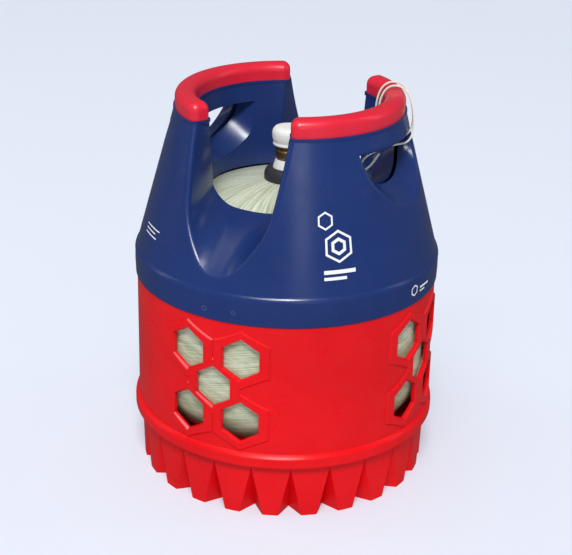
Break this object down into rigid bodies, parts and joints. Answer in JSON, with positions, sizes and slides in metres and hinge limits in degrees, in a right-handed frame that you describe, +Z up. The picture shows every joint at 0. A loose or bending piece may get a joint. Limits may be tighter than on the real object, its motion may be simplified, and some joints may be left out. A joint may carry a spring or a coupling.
{
  "type": "composite gas cylinder",
  "caption": "Composite gas cylinder in a red and blue plastic casing with two handle wings, hexagonal windows, a fluted foot, and a clip-on valve under a white safety cap tied on with cord.",
  "frame": {"origin": "on the cylinder's axis, in the plane its foot stands on", "axes": "+Z up along the axis; the handle wings are on +X and -X, the open slots face -Y and +Y"},
  "size_m": [0.312, 0.312, 0.3996],
  "materials": {
    "red_casing": "satin moulded polyethylene, red",
    "blue_shroud": "satin moulded polyethylene, dark blue",
    "red_grip": "smooth red plastic",
    "composite": "glass fibre in clear resin, pale green",
    "liner": "natural blow-moulded plastic",
    "dark_plastic": "black moulded plastic",
    "brass": "turned brass",
    "steel": "turned or drawn stainless steel",
    "white_plastic": "white moulded plastic",
    "rubber": "black nitrile rubber",
    "cord": "thin off-white braided cord"
  },
  "bodies": {
    "cylinder": {"lower_casing": "red_casing", "upper_shroud": "blue_shroud", "left_grip": "red_grip", "right_grip": "red_grip", "fibre_shell": "composite", "liner": "liner", "neck_boss": "steel", "boss_o_ring": "rubber", "bottom_plug": "dark_plastic", "neck_ring": "dark_plastic", "valve_body": "brass", "valve_collar": "white_plastic", "outlet_gasket": "rubber", "valve_spring": "steel", "spring_retainer": "brass", "tether_cord": "cord"},
    "cap": {"safety_cap": "white_plastic", "cap_seal": "rubber", "tether_knot": "cord"},
    "spindle": {"spindle": "steel", "spindle_seal": "rubber"}
  },
  "joints": [
    {"name": "cap_lift", "type": "slide", "parent": "cylinder", "child": "cap", "axis": [0, 0, 1], "range_m": [0, 0.09]},
    {"name": "spindle_press", "type": "slide", "parent": "cylinder", "child": "spindle", "axis": [0, 0, -1], "range_m": [0, 0.003], "stiffness_N_per_m": 2500, "springref_m": -0.002, "deforming": ["valve_spring"]}
  ]
}
